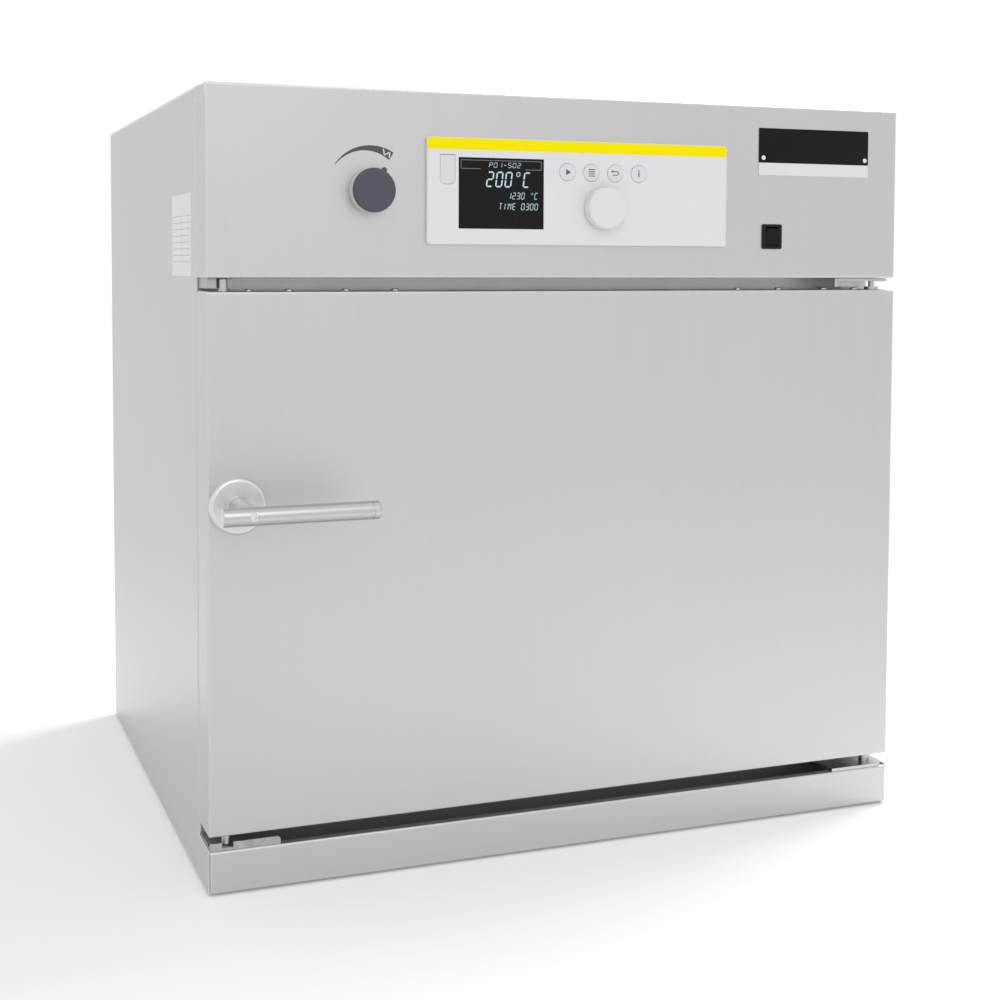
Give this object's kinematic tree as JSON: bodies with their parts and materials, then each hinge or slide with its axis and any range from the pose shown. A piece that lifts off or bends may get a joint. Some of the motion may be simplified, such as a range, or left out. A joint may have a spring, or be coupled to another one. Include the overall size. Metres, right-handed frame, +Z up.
{
  "type": "laboratory drying oven",
  "caption": "Bench-top forced-air drying oven: insulated steel chamber behind a hinged door with a turning lever lock, fan, heaters, wire shelf, vent and control panel.",
  "frame": {"origin": "on the floor, below the middle of the box around the oven with its handle and its exhaust stub", "axes": "+Z up, +Y out of the back along the exhaust stub, +X to the right as seen from the front; the door faces -Y"},
  "size_m": [0.7, 0.733, 0.71],
  "materials": {
    "casing_steel": "fine brushed stainless sheet, cool grey",
    "liner_steel": "satin stainless sheet, chamber side",
    "galvanised_steel": "galvanised sheet, inner structure",
    "mineral_wool": "yellow-grey mineral wool slab",
    "seal_silicone": "red-brown silicone seal",
    "polished_steel": "polished stainless tube and rods",
    "machined_steel": "machined steel, lightly oiled",
    "controller_white": "fine textured white moulding",
    "display_glass": "black display window",
    "key_white": "soft white keys",
    "knob_grey": "slate grey moulded knob",
    "black_plastic": "black moulding",
    "nylon": "natural nylon",
    "foot_rubber": "black rubber foot",
    "heater_sheath": "heat-tinted steel sheath",
    "motor_paint": "dark grey motor housing",
    "heat_sink": "plain aluminium extrusion"
  },
  "bodies": {
    "housing": {"left_side_panel": "casing_steel", "right_side_panel": "casing_steel", "top_cover": "casing_steel", "rear_panel": "casing_steel", "base_panel": "galvanised_steel", "levelling_feet": "foot_rubber", "front_plinth": "casing_steel", "front_frame": "casing_steel", "chamber_liner": "liner_steel", "wrap_insulation": "mineral_wool", "rear_insulation": "mineral_wool", "component_tray": "galvanised_steel", "door_gasket": "seal_silicone", "control_fascia": "casing_steel", "upper_hinge_bracket": "galvanised_steel", "lower_hinge_bracket": "galvanised_steel", "upper_keeper": "galvanised_steel", "lower_keeper": "galvanised_steel", "controller_housing": "controller_white", "display_window": "display_glass", "usb_socket": "machined_steel", "switch_housing": "black_plastic", "solid_state_relay": "heat_sink", "exhaust_duct": "galvanised_steel", "valve_plate": "galvanised_steel", "exhaust_stub": "polished_steel", "fan_motor": "motor_paint", "motor_bracket": "galvanised_steel", "heating_elements": "heater_sheath", "temperature_sensor": "machined_steel", "air_baffle": "liner_steel", "shelf_racks": "liner_steel", "cable_gland": "black_plastic", "casing_screws": "machined_steel"},
    "door": {"door_skin": "casing_steel", "door_inner_panel": "liner_steel", "door_insulation": "mineral_wool", "hinge_bushes": "machined_steel", "door_screws": "machined_steel", "handle_rosette": "polished_steel", "lock_case": "galvanised_steel", "rod_guides": "nylon"},
    "handle": {"handle_lever": "polished_steel", "handle_end_caps": "polished_steel", "handle_screw": "polished_steel", "lock_pinion": "machined_steel"},
    "upper_rod": {"upper_lock_rod": "machined_steel"},
    "lower_rod": {"lower_lock_rod": "machined_steel"},
    "vent_control": {"vent_knob": "knob_grey", "vent_rod": "machined_steel"},
    "power_rocker": {"rocker": "black_plastic"},
    "play_button": {"play_key": "key_white"},
    "list_button": {"list_key": "key_white"},
    "back_button": {"back_key": "key_white"},
    "info_button": {"info_key": "key_white"},
    "dial_push_shaft": {"encoder_shaft": "machined_steel"},
    "dial": {"jog_dial": "key_white"},
    "port_flap": {"usb_flap": "controller_white"},
    "fan": {"fan_wheel": "galvanised_steel"},
    "shelf": {"wire_shelf": "liner_steel"}
  },
  "joints": [
    {"name": "door_swing", "type": "hinge", "parent": "housing", "child": "door", "pos_m": [0.334, -0.2765, 0.2915], "axis": [0, 0, 1], "range_deg": [0, 120]},
    {"name": "handle_turn", "type": "hinge", "parent": "door", "child": "handle", "pos_m": [-0.324, -0.2935, 0.3445], "axis": [0, 1, 0], "range_deg": [0, 90]},
    {"name": "upper_rod_slide", "type": "slide", "parent": "door", "child": "upper_rod", "axis": [0, 0, 1], "range_m": [-0.012, 0]},
    {"name": "lower_rod_slide", "type": "slide", "parent": "door", "child": "lower_rod", "axis": [0, 0, 1], "range_m": [0, 0.012]},
    {"name": "vent_turn", "type": "hinge", "parent": "housing", "child": "vent_control", "pos_m": [-0.203, -0.2935, 0.6197], "axis": [0, 1, 0], "range_deg": [-80, 10]},
    {"name": "switch_rock", "type": "hinge", "parent": "housing", "child": "power_rocker", "pos_m": [0.2065, -0.2915, 0.5827], "axis": [-1, 0, 0], "range_deg": [0, 14]},
    {"name": "play_press", "type": "slide", "parent": "housing", "child": "play_button", "axis": [0, 1, 0], "range_m": [0, 0.0008], "stiffness_N_per_m": 500},
    {"name": "list_press", "type": "slide", "parent": "housing", "child": "list_button", "axis": [0, 1, 0], "range_m": [0, 0.0008], "stiffness_N_per_m": 500},
    {"name": "back_press", "type": "slide", "parent": "housing", "child": "back_button", "axis": [0, 1, 0], "range_m": [0, 0.0008], "stiffness_N_per_m": 500},
    {"name": "info_press", "type": "slide", "parent": "housing", "child": "info_button", "axis": [0, 1, 0], "range_m": [0, 0.0008], "stiffness_N_per_m": 500},
    {"name": "dial_push", "type": "slide", "parent": "housing", "child": "dial_push_shaft", "axis": [0, 1, 0], "range_m": [0, 0.001], "stiffness_N_per_m": 800},
    {"name": "dial_turn", "type": "hinge", "parent": "dial_push_shaft", "child": "dial", "pos_m": [0.0227, -0.3035, 0.6073], "axis": [0, 1, 0], "continuous": true},
    {"name": "flap_open", "type": "hinge", "parent": "housing", "child": "port_flap", "pos_m": [-0.1315, -0.2964, 0.6524], "axis": [-1, 0, 0], "range_deg": [0, 90]},
    {"name": "fan_spin", "type": "hinge", "parent": "housing", "child": "fan", "pos_m": [0, 0.171, 0.291], "axis": [0, 1, 0], "continuous": true},
    {"name": "shelf_slide", "type": "slide", "parent": "housing", "child": "shelf", "axis": [0, -1, 0], "range_m": [0, 0.018]}
  ],
  "couplings": [
    {"joint": "upper_rod_slide", "follows": "handle_turn", "m_per_rad": -0.0075},
    {"joint": "lower_rod_slide", "follows": "handle_turn", "m_per_rad": 0.0075}
  ]
}
